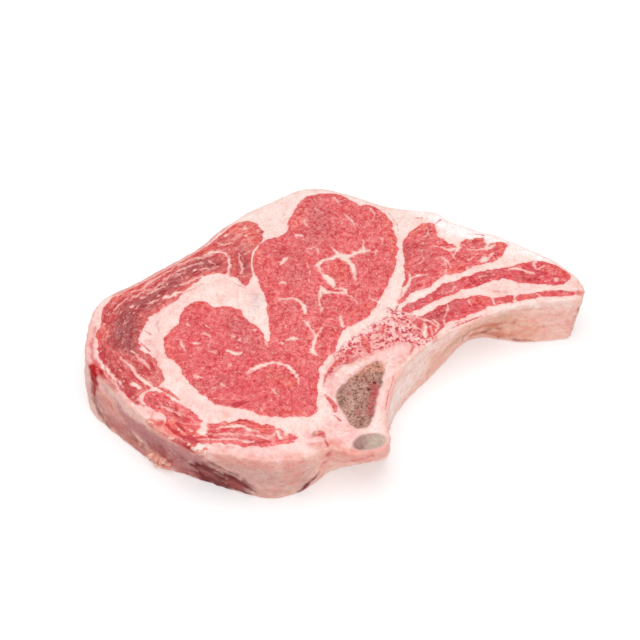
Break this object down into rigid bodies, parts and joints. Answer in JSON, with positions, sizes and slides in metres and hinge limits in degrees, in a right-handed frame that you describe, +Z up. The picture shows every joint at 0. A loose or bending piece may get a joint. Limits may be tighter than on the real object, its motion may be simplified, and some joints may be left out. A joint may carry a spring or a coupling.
{
  "type": "raw rib steak",
  "caption": "Raw bone-in rib steak with its tail, an uneven slab of marbled muscles and sawn bone set in pale fat, to be cooked as one portion",
  "frame": {"origin": "on the surface the steak lies on, under the middle of its outline's bounding box", "axes": "+X runs from the cap end to the tip of the tail, +Y from the knob of bone to the fat cap, +Z up through the thickness, out of the cut face that shows"},
  "size_m": [0.2636, 0.1926, 0.0334],
  "materials": {
    "fat": "satin, waxy",
    "lean": "moist",
    "dark_lean": "moist",
    "marrow_bone": "porous, sawn",
    "bone": "sawn"
  },
  "bodies": {
    "root": {"fat": "fat", "rib_eye": "lean", "cap_lean": "dark_lean", "front_lean": "lean", "tail_lean_upper": "lean", "tail_lean_middle": "lean", "tail_lean_lower": "lean", "chine_bone": "marrow_bone", "button_bone": "bone"}
  },
  "joints": []
}
